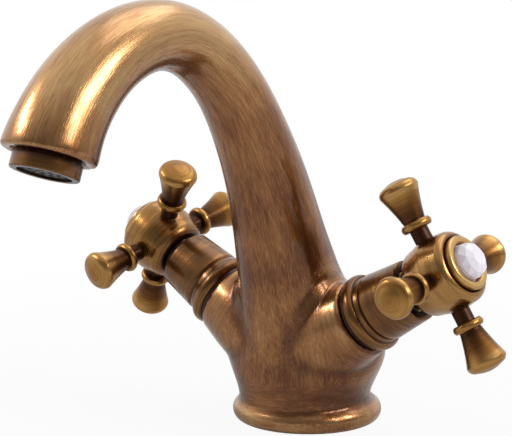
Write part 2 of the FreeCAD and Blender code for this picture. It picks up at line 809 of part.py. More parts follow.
# ------------------------------------------------------------------ valve: what turns with the handle
def spindle(name, place):
    _, upper, top = disc_levels()
    collar_top = AT.roof - S.end_clearance
    collar = collar_top - S.spindle_collar_length
    groove = S.gland_radius - S.spindle_ring_cord - S.fixed_clearance
    half = S.spindle_ring_cord / 2
    clip_low = AT.cartridge_end + S.end_clearance
    clip_high = clip_low + S.circlip_thickness
    rings = [AT.first_ring, AT.first_ring + S.ring_spacing]
    outline = [(ZERO, collar), (S.spindle_collar_radius, collar), (S.spindle_collar_radius, collar_top),
               (S.gland_radius, collar_top)]
    for level in rings:
        outline += [(S.gland_radius, level - half), (groove, level - half),
                    (groove, level + half), (S.gland_radius, level + half)]
    tapped = S.screw_radius + S.thread_clearance
    tapped_floor = AT.spindle_end - S.screw_length + S.hub_partition
    outline += [
        (S.gland_radius, clip_low), (S.circlip_groove_radius, clip_low),
        (S.circlip_groove_radius, clip_high), (S.spline_radius, clip_high),
        (S.spline_radius, AT.spindle_end), (tapped, AT.spindle_end), (tapped, tapped_floor),
        (ZERO, tapped_floor),
    ]
    body = turned(name + "_spindle", outline, place)
    tongue = new_sketch(body, "XY_Plane", top - S.tongue_depth + S.disc_film)
    rectangle(tongue, ZERO - S.tongue_length / 2, S.tongue_length / 2,
              ZERO - S.tongue_width / 2, S.tongue_width / 2)
    pad = body.newObject("PartDesign::Pad", name + "_tongue")
    pad.Profile = tongue
    pad.setExpression("Length", (collar - top + S.tongue_depth).text)
    doc.recompute()
    teeth = new_sketch(body, "XY_Plane", AT.hub_neck)
    rectangle(teeth, S.spline_radius - S.spline_groove, S.spline_radius + 1,
              ZERO - S.spline_groove / 2, S.spline_groove / 2)
    finish_cut(body, teeth, AT.spindle_end - AT.hub_neck + 1, True, int(S.spline_teeth.number))
    keep(body)
    keep(cord_rings(name + "_spindle_seals", S.gland_radius - half, S.spindle_ring_cord, rings, place))
    clip = ring(name + "_circlip", S.circlip_groove_radius + S.fixed_clearance, S.circlip_outer_radius,
                clip_low, clip_high - S.fixed_clearance, place)
    gap = new_sketch(clip, "XY_Plane", clip_low)
    rectangle(gap, ZERO, S.circlip_outer_radius + 1,
              ZERO - S.circlip_groove_radius / 2, S.circlip_groove_radius / 2)
    keep(finish_cut(clip, gap, S.circlip_thickness, True))
    outer = S.cartridge_tube_radius - S.cartridge_tube_wall - S.running_clearance
    disc = ring(name + "_upper_disc", ZERO, outer, upper, top, place)
    slot = new_sketch(disc, "XY_Plane", top)
    rectangle(slot, ZERO - S.tongue_length / 2 - S.fixed_clearance, S.tongue_length / 2 + S.fixed_clearance,
              ZERO - S.tongue_width / 2 - S.fixed_clearance, S.tongue_width / 2 + S.fixed_clearance)
    finish_cut(disc, slot, S.tongue_depth, False)
    ports = new_sketch(disc, "XY_Plane", upper)
    round_hole(ports, ZERO, S.disc_port_offset, S.disc_port_radius)
    keep(finish_cut(disc, ports, S.disc_thickness, True, 2))


def handle(name, side):
    place = handle_frame(side)
    socket = S.spline_radius + S.fixed_clearance
    socket_floor = AT.spindle_end + S.end_clearance
    partition_top = socket_floor + S.hub_partition
    screw_hole = S.screw_radius + S.end_clearance
    head_bore = S.screw_head_radius + S.end_clearance
    hub = turned(name + "_handle_hub", [
        (socket, AT.hub_neck), (S.hub_neck_radius, AT.hub_neck), (S.hub_neck_radius, AT.hub_back),
        (S.hub_back_radius, AT.hub_back),
        (S.hub_rear_radius, AT.hub_rear, S.hub_back_curve, "out"),
        (S.hub_radius, AT.arm, S.hub_side_curve, "out"),
        (S.hub_shoulder_radius, AT.shoulder, S.hub_side_curve, "out"),
        (S.hub_front_radius, AT.hub_front, S.hub_nose_length, "out"),
        (S.hub_face_bore_radius, AT.hub_front), (S.hub_face_bore_radius, AT.face_floor),
        (S.hub_recess_radius, AT.face_floor), (S.hub_recess_radius, AT.recess),
        (head_bore, AT.recess), (head_bore, partition_top), (screw_hole, partition_top),
        (screw_hole, socket_floor), (socket, socket_floor),
    ], place)
    for radius, depth_at in ((S.stud_radius + S.thread_clearance, S.stud_inner_end - S.end_clearance),
                             (S.arm_neck_radius + S.end_clearance, S.spotface_at)):
        hole = new_sketch(hub, "YZ_Plane", depth_at)
        round_hole(hole, ZERO, AT.arm, radius)
        finish_cut(hub, hole, S.hub_radius, True, 4)
    keep(hub)
    arms = ("down", "back", "up", "front") if side > 0 else ("up", "back", "down", "front")
    for quarter, where in enumerate(arms):
        handle_arm(f"{name}_arm_{where}", arm_frame(side, quarter))
    jewel(name, place)
    screw(name, place, partition_top)


def handle_arm(label, place):
    """One arm of the cross: stud, neck, collar bead and flared knob with a domed end."""
    collar_low = S.arm_collar_middle - S.arm_collar_length / 2
    collar_high = S.arm_collar_middle + S.arm_collar_length / 2
    dome_edge = S.arm_knob_radius - S.arm_rim_round
    dome_low = S.arm_knob_rim + S.arm_rim_length
    dome_rise = S.arm_tip - dome_low
    dome_radius = (dome_edge * dome_edge + dome_rise * dome_rise) / (dome_rise * 2)
    keep(turned(label, [
        (ZERO, S.stud_inner_end), (S.stud_radius, S.stud_inner_end), (S.stud_radius, S.spotface_at),
        (S.arm_neck_radius, S.spotface_at), (S.arm_neck_radius, collar_low),
        *bead(S.arm_collar_radius, collar_low, S.arm_collar_length), (S.arm_waist_radius, collar_high),
        (S.arm_knob_radius, S.arm_knob_rim, S.arm_flare_radius, "in"),
        (dome_edge, dome_low, S.arm_rim_curve, "out"), (ZERO, S.arm_tip, dome_radius, "out"),
    ], place))


def screw(name, place, seat):
    """The screw that holds the handle on the spindle."""
    body = turned(name + "_handle_screw", [
        (ZERO, seat - S.screw_length), (S.screw_radius, seat - S.screw_length), (S.screw_radius, seat),
        (S.screw_head_radius, seat), (S.screw_head_radius, seat + S.screw_head_height),
        (ZERO, seat + S.screw_head_height),
    ], place)
    socket = new_sketch(body, "XY_Plane", seat + S.screw_head_height)
    corner = S.screw_socket_flats / math.sqrt(3)
    half = S.screw_socket_flats / 2
    closed_outline(socket, [
        (corner, ZERO), (corner / 2, half), (ZERO - corner / 2, half),
        (ZERO - corner, ZERO), (ZERO - corner / 2, ZERO - half), (corner / 2, ZERO - half),
    ])
    keep(finish_cut(body, socket, S.screw_socket_depth, False))


def polygon(place, radius, level, turn):
    count = int(S.crystal_facets.number)
    corners = []
    for index in range(count + 1):
        angle = 2 * math.pi * (index + turn) / count
        corners.append(place.multVec(V(radius * math.cos(angle), radius * math.sin(angle), level)))
    return Part.makePolygon(corners)


def jewel(name, place):
    """Bezel ring, clear cut crystal and the pale index disc behind it."""
    low = AT.face_floor
    top = AT.hub_front + S.bezel_height
    lip = top - S.bezel_lip_thickness
    inside = S.crystal_radius + S.fixed_clearance
    skirt = S.hub_recess_radius - S.thread_clearance
    bezel = turned(name + "_bezel", [
        (inside, low - S.bezel_skirt_length), (skirt, low - S.bezel_skirt_length), (skirt, low),
        (S.bezel_radius, low), (S.bezel_radius, top), (S.bezel_lip_radius + S.bezel_lip_thickness / 2, top),
        (S.bezel_lip_radius, lip + S.bezel_lip_thickness / 2), (S.bezel_lip_radius, lip), (inside, lip),
    ], place)
    keep(rounded(bezel, S.bezel_edge_round, [(S.bezel_radius, top)]))
    girdle_low = lip - S.crystal_girdle
    disc_low = girdle_low - S.index_disc_thickness
    keep(ring(name + "_index_disc", ZERO, S.crystal_radius, disc_low, girdle_low, place))
    girdle = along_axis(place, girdle_low.number, lip.number, S.crystal_radius.number)
    levels = [
        (S.crystal_crown_radius.number, (girdle_low.number + lip.number) / 2, 0.0),
        (S.crystal_crown_radius.number, (lip + S.crystal_step_height).number, 0.0),
        (S.crystal_middle_radius.number, (lip + S.crystal_middle_height).number, 0.5),
        (S.crystal_table_radius.number, (lip + S.crystal_crown_height).number, 0.0),
    ]
    cuts = [polygon(place, radius, level, turn) for radius, level, turn in levels]
    crown = girdle
    for below, above in zip(cuts, cuts[1:]):
        crown = crown.fuse(Part.makeLoft([below, above], True, True))
    crystal = doc.addObject("Part::Feature", name + "_crystal")
    crystal.Shape = crown.removeSplitter()
    keep(crystal)


# ------------------------------------------------------------------ assembly
tap_body()
base_seal()
aerator()
for side_name, side in (("left", -1), ("right", 1)):
    cartridge(side_name, valve_frame(side))
    trim(side_name, valve_frame(side))
    spindle(side_name, handle_frame(side))
    handle(side_name, side)
doc.recompute()

for item in doc.Objects:
    if any(word in item.State for word in ("Invalid", "Error")):
        raise RuntimeError(f"{item.Label}: {item.State}")
for item in PARTS:
    if item.Shape.isNull() or not item.Shape.isValid() or not item.Shape.Solids:
        raise RuntimeError(f"{item.Label}: shape is not a valid solid")

os.makedirs("parts", exist_ok=True)
for item in PARTS:
    item.Shape.exportStep(os.path.join("parts", item.Label + ".step"))
    print(f"{item.Label}: {len(item.Shape.Solids)} solid(s), {item.Shape.Volume:.0f} mm3")
print(len(PARTS), "parts")
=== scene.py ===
# %% [markdown]
# # A two-handle basin tap in antique brass
# The tap is one heavy brass casting with a swan-neck spout, and a cross handle on each slanted valve.
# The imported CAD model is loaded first, as a fixed frame. Each visible piece is then modelled again
# in finer form on that frame, so that its edges are round and its polish can follow its surface.

# %% Load the frame
import json
import math

import bmesh
import bpy
import numpy as np
from mathutils import Matrix, Vector


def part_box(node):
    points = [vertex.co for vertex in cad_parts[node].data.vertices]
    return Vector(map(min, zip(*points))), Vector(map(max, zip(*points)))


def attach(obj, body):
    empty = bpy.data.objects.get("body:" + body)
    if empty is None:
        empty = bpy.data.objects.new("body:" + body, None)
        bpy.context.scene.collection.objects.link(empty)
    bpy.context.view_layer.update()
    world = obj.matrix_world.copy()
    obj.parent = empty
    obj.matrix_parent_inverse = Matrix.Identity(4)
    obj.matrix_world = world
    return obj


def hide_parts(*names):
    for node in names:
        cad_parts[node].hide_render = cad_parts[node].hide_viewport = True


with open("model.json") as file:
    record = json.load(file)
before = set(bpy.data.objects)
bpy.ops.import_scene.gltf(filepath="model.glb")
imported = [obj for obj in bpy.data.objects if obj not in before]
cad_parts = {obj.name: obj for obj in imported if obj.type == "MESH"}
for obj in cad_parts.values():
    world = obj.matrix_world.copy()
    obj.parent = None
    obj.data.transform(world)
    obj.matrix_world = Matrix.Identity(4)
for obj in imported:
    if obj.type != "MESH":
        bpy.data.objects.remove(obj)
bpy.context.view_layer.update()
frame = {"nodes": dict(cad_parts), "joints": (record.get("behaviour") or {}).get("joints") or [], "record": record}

MM = 0.001
scene = bpy.context.scene

# %% [markdown]
# ## Where the valves are
# The two joints of the frame hold all that is needed to place the turned pieces: each joint's axis is
# the valve's axis, and its position is the middle of the cross. The sign is set so that Z always
# points out of the casting. The parked turn of each cross is read from where its upper arm lies.


# %% Valve places
class Valve:
    """One side of the tap: a matrix with Z out along the valve and X along one arm of the cross."""

    ARM_LEVEL = 70.4 * MM

    def __init__(self, side, joint):
        self.side = side
        self.body = joint["child"]
        cross = Vector(joint["pos_m"])
        out = Vector(joint["axis"]).normalized()
        if out.dot(cross - Vector((0, 0, cross.z))) < 0:
            out = -out
        low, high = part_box(f"{side}_arm_up")
        arm = (low + high) / 2 - cross
        arm = (arm - out * arm.dot(out)).normalized()
        turn = Matrix((arm, out.cross(arm), out)).transposed().to_4x4()
        self.place = Matrix.Translation(cross - out * self.ARM_LEVEL) @ turn

    def arm_place(self, name):
        """Z along the named arm, from the valve's axis outwards."""
        low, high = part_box(f"{self.side}_arm_{name}")
        local = self.place.inverted() @ ((low + high) / 2)
        quarter = round(math.atan2(local.y, local.x) / (math.pi / 2))
        around = Matrix.Rotation(quarter * math.pi / 2, 4, "Z")
        level = Matrix.Translation((0, 0, self.ARM_LEVEL))
        return self.place @ around @ level @ Matrix.Rotation(math.pi / 2, 4, "Y")


VALVES = [
    Valve("left" if joint["pos_m"][0] < 0 else "right", joint) for joint in frame["joints"]
]
for valve in VALVES:
    print(valve.side, "valve turns with", valve.body, "axis", [round(v, 3) for v in valve.place.col[2][:3]])

# %% [markdown]
# ## Writing shader maths as Python
# A finish is a recipe: some patterns, some arithmetic, and a shader at the end. Dragging nodes about
# hides that recipe. Here a small class wraps a socket, so that `1 - mask * 0.4` writes its own Math
# nodes, and one method makes every other node.


# %% Shader helpers
class Value:
    """A number, vector or colour that a finish works out for each point of the surface."""

    def __init__(self, finish, socket):
        self.finish = finish
        self.socket = socket

    def math(self, operation, other, swap=False):
        pair = [other, self] if swap else [self, other]
        return self.finish.node("ShaderNodeMath", {"operation": operation}, dict(enumerate(pair)))

    def __add__(self, other):
        return self.math("ADD", other)

    __radd__ = __add__

    def __sub__(self, other):
        return self.math("SUBTRACT", other)

    def __rsub__(self, other):
        return self.math("SUBTRACT", other, swap=True)

    def __mul__(self, other):
        return self.math("MULTIPLY", other)

    __rmul__ = __mul__

    def or_more(self, other):
        return self.math("MAXIMUM", other)

    def between(self, low, high):
        """0 below low, 1 above high, and smooth in between."""
        settings = {"interpolation_type": "SMOOTHSTEP"}
        sockets = {"Value": self, "From Min": low, "From Max": high}
        return self.finish.node("ShaderNodeMapRange", settings, sockets)


class Finish:
    """A recipe under construction, in the nodes of a material or of the world."""

    def __init__(self, owner):
        owner.use_nodes = True
        self.owner = owner
        self.tree = owner.node_tree
        self.tree.nodes.clear()

    def node(self, kind, settings=None, sockets=None, output=0):
        """Adds a node: its settings first, then values or links by socket name or number."""
        item = self.tree.nodes.new(kind)
        for key, value in (settings or {}).items():
            if key == "stops":
                self.set_stops(item.color_ramp, value)
            else:
                setattr(item, key, value)
        for key, value in (sockets or {}).items():
            if isinstance(value, Value):
                self.tree.links.new(value.socket, item.inputs[key])
            else:
                item.inputs[key].default_value = value
        return Value(self, item.outputs[output])

    @staticmethod
    def set_stops(ramp, stops):
        while len(ramp.elements) < len(stops):
            ramp.elements.new(0.5)
        for element, (position, colour) in zip(ramp.elements, stops):
            element.position = position
            element.color = (*colour, 1)

    def mix(self, factor, first, second):
        """Blends two colours. The Mix node keeps them at sockets 6 and 7, and gives output 2."""
        sockets = {0: factor, 6: (*first, 1), 7: (*second, 1)}
        return self.node("ShaderNodeMix", {"data_type": "RGBA"}, sockets, output=2)

    def stretched(self, vector, scale):
        return self.node("ShaderNodeVectorMath", {"operation": "MULTIPLY"}, {0: vector, 1: scale})

    def share_towards(self, way, direction):
        """The dot product of two unit vectors: 1 along the direction, -1 against it."""
        sockets = {0: way, 1: direction}
        return self.node("ShaderNodeVectorMath", {"operation": "DOT_PRODUCT"}, sockets, output="Value")

    def noise(self, vector, scale, detail=3.0, roughness=0.55):
        sockets = {"Vector": vector, "Scale": scale, "Detail": detail, "Roughness": roughness}
        return self.node("ShaderNodeTexNoise", None, sockets)

    def place(self):
        """The point's own place in the frame."""
        return self.node("ShaderNodeTexCoord", output="Object")

    def attribute(self, name, output):
        return self.node("ShaderNodeAttribute", {"attribute_name": name}, output=output)

    def ray(self, kind):
        """1 for the light paths of this kind, and 0 for the others."""
        return self.node("ShaderNodeLightPath", output=f"Is {kind} Ray")

    def bump(self, height, depth):
        return self.node("ShaderNodeBump", None, {"Height": height, "Distance": depth, "Strength": 1.0})

    def done(self, sockets):
        """Ends the recipe with the surface shader."""
        self.end(self.node("ShaderNodeBsdfPrincipled", None, sockets))
        return self.owner

    def end(self, shader, kind="ShaderNodeOutputMaterial"):
        output = self.tree.nodes.new(kind)
        self.tree.links.new(shader.socket, output.inputs["Surface"])


# %% [markdown]
# ## Antique brass
# Antique brass is bright brass that has been browned in a bath, then brushed so that the brown stays
# in the scratches and hollows, and lacquered. One recipe serves every piece. Its `grain` attribute
# runs with the brush: on the casting the first two numbers lie across the scratches and the last along
# them, and on a turned piece it is the other way round, so only the scales differ. Its second attribute
# is 0 or less on ridges that the brush has bared and 1 in hollows that it could not reach. On the
# casting it also carries painted shade and painted highlight.

# %% Antique brass
# Each palette runs from gold over honey and brown to umber.
CAST_COLOURS = ((0.55, 0.335, 0.142), (0.34, 0.150, 0.052), (0.172, 0.063, 0.021), (0.045, 0.015, 0.007))
TURNED_COLOURS = ((0.62, 0.385, 0.145), (0.35, 0.168, 0.043), (0.165, 0.067, 0.017), (0.05, 0.018, 0.008))
COLOUR_STOPS = (0.10, 0.42, 0.66, 1.0)
BROWN_SCALE = 0.8
HAIR_SHARE, STROKE_SHARE, SMEAR_SHARE, CLOUD_SHARE = 0.75, 0.45, 0.5, 0.6
CLOUDS_PER_METRE = 38.0

# Each set of marks scales the grain for hairs, strokes and smears.
CAST_MARKS = ((2500, 2500, 110), (700, 700, 40), (150, 150, 16))
TURNED_MARKS = ((90, 90, 2600), (30, 30, 620), (30, 30, 150))
KNOB_MARKS = ((110, 110, 2600), (50, 50, 460), (50, 50, 160))
SLEEVE_MARKS = ((60, 60, 2600), (24, 24, 620), (24, 24, 150))


def antique_brass(name, colours, marks, depth, tone=0.0, contrast=1.0, coat=0.4, rough=0.27):
    """Brushed brown brass: tone makes all of it browner, and depth is that of the scratches in metres."""
    finish = Finish(bpy.data.materials.new(name))
    grain = finish.attribute("grain", "Vector")
    # Patina, and on the casting also painted shade and painted highlight.
    patina_and_shading_level = finish.attribute("patina", "Fac")
    hairs, strokes, smears = marks
    hair = finish.noise(finish.stretched(grain, hairs), 1.0, 2.0, 0.6)
    stroke = finish.noise(finish.stretched(grain, strokes), 1.0, 3.0, 0.6)
    smear = finish.noise(finish.stretched(grain, smears), 1.0, 2.0, 0.5)
    cloud = finish.noise(finish.place(), CLOUDS_PER_METRE, 3.0, 0.5)
    worn = (hair - 0.5) * HAIR_SHARE + (stroke - 0.5) * STROKE_SHARE
    worn = worn + (smear - 0.5) * SMEAR_SHARE + (cloud - 0.5) * CLOUD_SHARE
    brown = patina_and_shading_level + 0.5 + tone + worn * contrast
    stops = list(zip(COLOUR_STOPS, colours))
    return finish.done({
        "Base Color": finish.node("ShaderNodeValToRGB", {"stops": stops}, {"Fac": brown * BROWN_SCALE}),
        "Metallic": 1.0,
        "Roughness": rough + (hair - 0.5) * 0.2 + brown.between(0.5, 1.4) * 0.16,
        "Normal": finish.bump(hair + stroke * 0.4, depth),
        "Coat Weight": coat,
        "Coat Roughness": 0.08,
    })


CAST_BRASS = antique_brass("cast brass", CAST_COLOURS, CAST_MARKS, 0.05 * MM, tone=0.12, coat=0.5)
TURNED_BRASS = antique_brass(
    "turned brass", TURNED_COLOURS, TURNED_MARKS, 0.03 * MM, tone=0.04, contrast=0.8)
# Painted shade: the trim rings and bonnets are made browner than the other turned brass.
SHADED_BONNET_BRASS = antique_brass("shaded bonnet brass", TURNED_COLOURS, TURNED_MARKS, 0.03 * MM, tone=0.24)
KNOB_BRASS = antique_brass(
    "knob brass", TURNED_COLOURS, KNOB_MARKS, 0.01 * MM, contrast=0.6, coat=0.1, rough=0.32)
SLEEVE_BRASS = antique_brass(
    "sleeve bronze", TURNED_COLOURS, SLEEVE_MARKS, 0.02 * MM, tone=0.26, contrast=0.5)
BRASSES = (CAST_BRASS, TURNED_BRASS, SHADED_BONNET_BRASS, KNOB_BRASS, SLEEVE_BRASS)
print("brass finishes:", [item.name for item in BRASSES])

# %% [markdown]
# ## Finishes of the small inner pieces
# Seals, discs, cartridges and screws hardly show, but each still gets the look of what it is made of:
# rubber is dull and slightly dusty, ceramic is pale and close-grained, plain brass keeps its turning
# marks. They read the point's place, because CAD pieces carry no brush direction of their own.


# %% Inner finishes
def plain_metal(name, pale, dark, rough):
    finish = Finish(bpy.data.materials.new(name))
    clouds = finish.noise(finish.place(), 160.0, 3.0)
    marks = finish.noise(finish.place(), 2400.0, 1.0)
    return finish.done({
        "Base Color": finish.mix(clouds.between(0.35, 0.7), pale, dark),
        "Metallic": 1.0,
        "Roughness": rough + (marks - 0.5) * 0.12,
        "Normal": finish.bump(marks, 0.01 * MM),
    })


def dull_solid(name, pale, dark, rough, size):
    finish = Finish(bpy.data.materials.new(name))
    specks = finish.noise(finish.place(), size, 4.0, 0.65)
    return finish.done({
        "Base Color": finish.mix(specks.between(0.3, 0.75), dark, pale),
        "Roughness": rough + (specks - 0.5) * 0.15,
        "Normal": finish.bump(specks, 0.02 * MM),
    })


def cut_crystal():
    """Milky glass with a breath of lilac; the facets do the rest."""
    finish = Finish(bpy.data.materials.new("cut crystal"))
    haze = finish.noise(finish.place(), 320.0, 2.0)
    return finish.done({
        "Base Color": finish.mix(haze, (0.90, 0.84, 0.94), (0.97, 0.91, 0.99)),
        "Roughness": 0.02 + haze * 0.04,
        "IOR": 1.52,
        "Transmission Weight": 0.12,
        "Specular IOR Level": 0.75,
    })


CRYSTAL = cut_crystal()
INNER = {
    "bright_brass": plain_metal("plain brass", (0.72, 0.50, 0.20), (0.55, 0.36, 0.14), 0.32),
    "stainless": plain_metal("stainless steel", (0.58, 0.57, 0.55), (0.44, 0.43, 0.42), 0.30),
    "rubber": dull_solid("sealing rubber", (0.045, 0.044, 0.043), (0.018, 0.018, 0.019), 0.62, 1800.0),
    "ceramic": dull_solid("lapped ceramic", (0.80, 0.79, 0.75), (0.68, 0.67, 0.63), 0.25, 900.0),
    "aerator_plastic": dull_solid(
        "aerator plastic", (0.060, 0.050, 0.045), (0.028, 0.024, 0.022), 0.45, 700.0),
    "index_white": dull_solid("index enamel", (0.74, 0.72, 0.84), (0.62, 0.60, 0.74), 0.30, 500.0),
    "crystal": CRYSTAL,
    "antique_brass": SLEEVE_BRASS,
}
for row in frame["record"]["subparts"]:
    item = frame["nodes"][row["node"]]
    item.data.materials.clear()
    item.data.materials.append(INNER[row["material_slot"]])
print("finishes for", len(frame["nodes"]), "CAD nodes")

# %% [markdown]
# ## Following a line
# Both the spout and every turned piece have a line that their surface follows: the spout's centreline,
# or the turned piece's outline. Two questions come up for both: how far along the line is a point, and
# how far off it. One helper answers them for all the points of a mesh at once.


# %% Distance along a line
def along_line(points, line):
    """For 2-D points: the length along the line to the nearest spot on it, and the signed distance off."""
    starts, runs = line[:-1], np.diff(line, axis=0)
    lengths = np.linalg.norm(runs, axis=1)
    before = np.concatenate([[0], np.cumsum(lengths)[:-1]])
    best = np.full(len(points), np.inf)
    along = np.zeros(len(points))
    off = np.zeros(len(points))
    for start, run, length, base in zip(starts, runs, lengths, before):
        unit = run / length
        rel = points - start
        share = np.clip(rel @ unit, 0, length)
        gap = rel - share[:, None] * unit
        distance = np.linalg.norm(gap, axis=1)
        nearer = distance < best
        best[nearer] = distance[nearer]
        along[nearer] = (base + share)[nearer]
        side = rel @ np.array([-unit[1], unit[0]])
        off[nearer] = side[nearer]
    return along, off


def write_attribute(mesh, name, kind, values):
    layer = mesh.attributes.new(name, kind, "POINT")
    key = "vector" if kind == "FLOAT_VECTOR" else "value"
    layer.data.foreach_set(key, np.asarray(values, np.float32).ravel())


def coordinates(mesh):
    flat = np.empty(len(mesh.vertices) * 3)
    mesh.vertices.foreach_get("co", flat)
    return flat.reshape(-1, 3)


def add_piece(name, mesh, material, body, slot, *nodes):
    """Puts a finished mesh in the scene, on its body, in place of its CAD nodes."""
    piece = bpy.data.objects.new(name, mesh)
    scene.collection.objects.link(piece)
    mesh.materials.append(material)
    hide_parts(*nodes)
    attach(piece, body)


# %% [markdown]
# ## Turned pieces
# On a lathe, a piece is an outline swept round its axis, and Blender's spin does just that. The corners
# of the outline are bevelled before the spin, so that each edge of the piece is slightly round and
# catches a thin line of light, as a machined and brushed edge does. Each outline point also says how
# much patina is left there: 0 or less on a ridge, 1 in a groove.


# %% Lathe
# A corner turns by more than this angle, in radians. The edges are rounded in mm.
SPIN_STEPS = 112
CORNER_ANGLE = 0.35
EDGE_ROUND = 0.22
FINE_EDGE_ROUND = 0.15


def bowed(start, finish, bulge, steps=8):
    """Points of an arc between two outline points; the bulge is to the right of the way."""
    (x0, y0, tone0), (x1, y1, tone1) = start, finish
    chord = math.hypot(x1 - x0, y1 - y0)
    half_angle = 2 * math.atan2(abs(bulge), chord / 2)
    radius = chord / 2 / math.sin(half_angle)
    sign = 1 if bulge > 0 else -1
    ux, uy = (x1 - x0) / chord, (y1 - y0) / chord
    points = []
    for index in range(1, steps + 1):
        turn = half_angle * (2 * index / steps - 1)
        forth = radius * math.sin(turn) + chord / 2
        out = sign * (radius * math.cos(turn) - radius * math.cos(half_angle))
        tone = tone0 + (tone1 - tone0) * index / steps
        points.append((x0 + ux * forth + uy * out, y0 + uy * forth - ux * out, tone))
    return points


def write_turning(mesh, outline):
    """Gives each point its grain, with the length along the outline last, and its patina."""
    points = coordinates(mesh)
    radii = np.hypot(points[:, 0], points[:, 1])
    line = np.array([(radius * MM, height * MM) for radius, height, _ in outline])
    along, _ = along_line(np.column_stack([radii, points[:, 2]]), line)
    marks = np.concatenate([[0], np.cumsum(np.linalg.norm(np.diff(line, axis=0), axis=1))])
    tones = np.interp(along, marks, [tone for _, _, tone in outline])
    write_attribute(mesh, "grain", "FLOAT_VECTOR", np.column_stack([points[:, 0], points[:, 1], along]))
    write_attribute(mesh, "patina", "FLOAT", tones)


def lathe(name, node, outline, place, material, body, soften=EDGE_ROUND):
    """Spins an outline of (radius, height, patina) in mm round Z and sets it at its place."""
    builder = bmesh.new()
    spots = [builder.verts.new((radius * MM, 0, height * MM)) for radius, height, _ in outline]
    for first, second in zip(spots, spots[1:]):
        builder.edges.new((first, second))
    corners = []
    for before, here, after in zip(spots, spots[1:], spots[2:]):
        if (here.co - before.co).angle(after.co - here.co) > CORNER_ANGLE:
            corners.append(here)
    bmesh.ops.bevel(builder, geom=corners, offset=soften * MM, offset_type="OFFSET", segments=3,
                    profile=0.5, affect="VERTICES", clamp_overlap=True, material=-1)
    bmesh.ops.spin(builder, geom=builder.verts[:] + builder.edges[:], cent=(0, 0, 0),
                   axis=(0, 0, 1), angle=2 * math.pi, steps=SPIN_STEPS, use_merge=True)
    bmesh.ops.remove_doubles(builder, verts=builder.verts, dist=1e-7)
    bmesh.ops.recalc_face_normals(builder, faces=builder.faces)
    mesh = bpy.data.meshes.new(name)
    builder.to_mesh(mesh)
    builder.free()
    write_turning(mesh, outline)
    mesh.transform(place)
    mesh.shade_smooth()
    print(f"{name}: {len(mesh.polygons)} faces")
    add_piece(name, mesh, material, body, "antique_brass", node)


# %% [markdown]
# ## The casting
# Foot, column, spout and valve branches are one casting, hand-brushed after it was browned. A copy of
# the CAD mesh is merged and remeshed into even cells. Then each of its points learns where it lies
# along the spout's centreline, which is built here from the same bends as the CAD model.

# %% Spout centreline
NECK_SHIFT = 1.5
NECK_TOP = 12.0
# Lengths are in mm. Each bend is (radius, degrees), and a straight run is (None, length).
COLUMN_BENDS = ((80.9, 19.7), (None, 41.3), (158.0, 15.7), (66.5, 25.0), (42.1, 42.0), (56.9, 55.4))
LINE_STEP = 4.0


def spout_line():
    """The centreline in the plane x = 0 as (y, z) in metres."""
    y, z, lean = -NECK_SHIFT, NECK_TOP, 0.0
    points = [(y, 0.0), (y, z)]
    for radius, amount in COLUMN_BENDS:
        length = amount if radius is None else radius * math.radians(amount)
        turn = 0.0 if radius is None else math.radians(amount)
        count = math.ceil(length / LINE_STEP)
        for _ in range(count):
            middle = lean + turn / count / 2
            y -= length / count * math.sin(middle)
            z += length / count * math.cos(middle)
            lean += turn / count
            points.append((y, z))
    return np.array(points) * MM


SPOUT = spout_line()
print("the centreline ends at y, z in mm:", (SPOUT[-1] / MM).round(1))

# %% Casting mesh
CELL = 0.8 * MM


def casting_mesh():
    """The CAD casting with its points merged, cut into even cells."""
    source = frame["nodes"]["tap_body"].data.copy()
    builder = bmesh.new()
    builder.from_mesh(source)
    bmesh.ops.remove_doubles(builder, verts=builder.verts, dist=1e-6)
    builder.to_mesh(source)
    builder.free()
    rough = bpy.data.objects.new("rough casting", source)
    scene.collection.objects.link(rough)
    remesh = rough.modifiers.new("cells", "REMESH")
    remesh.mode = "VOXEL"
    remesh.voxel_size = CELL
    bpy.context.view_layer.update()
    mesh = bpy.data.meshes.new_from_object(rough.evaluated_get(bpy.context.evaluated_depsgraph_get()))
    bpy.data.objects.remove(rough)
    return mesh


casting = casting_mesh()
print("casting:", len(casting.polygons), "cells")

# %% [markdown]
# ## Softening the roots, and finding the hollows
# Averaging each point with its neighbours, again and again, gives a softened copy of the surface. It
# lies above the real surface in a hollow and below it on a ridge. That tells two things at once. The
# sharp roots of the valve branches are moved up to the soft copy, as a caster's fillet would fill them,
# and every other point learns how deep it lies, which decides how much brown the brush left on it and,
# in the wide hollows, how much painted shade it gets.
# The bores, the valve pockets and the rims of the branches aren't filled, so that they stay crisp.


# %% Hollows
def softened(mesh, points, rounds):
    """The points after so many rounds of averaging with their neighbours."""
    ends = np.empty(len(mesh.edges) * 2, np.int32)
    mesh.edges.foreach_get("vertices", ends)
    first, second = ends[::2], ends[1::2]
    total = len(points)
    neighbours = np.bincount(ends, minlength=total)[:, None]
    for _ in range(rounds):
        sums = [
            np.bincount(first, points[second, axis], total) + np.bincount(second, points[first, axis], total)
            for axis in range(3)
        ]
        points = (points + np.column_stack(sums) / neighbours) / 2
    return points


def set_points(mesh, points):
    mesh.vertices.foreach_set("co", points.ravel())
    mesh.update()


def lift(mesh, points, soft):
    """How far the softened points lie above the surface at each point, in metres."""
    flat = np.empty(len(mesh.vertices) * 3)
    mesh.vertex_normals.foreach_get("vector", flat)
    return ((soft - points) * flat.reshape(-1, 3)).sum(axis=1)


def rising(values, start, width):
    """0 up to the start, then rising to 1 over the width."""
    return np.clip((values - start) / width, 0, 1)


def falling(values, end, width):
    """0 from the end on, after falling from 1 over the width."""
    return np.clip((end - values) / width, 0, 1)


def valve_local(valve, points):
    """The points' radius from the valve's axis, height along it and turn round it."""
    local = (points - np.array(valve.place.translation)) @ np.array(valve.place.to_3x3())
    return np.hypot(local[:, 0], local[:, 1]), local[:, 2], np.arctan2(local[:, 1], local[:, 0])


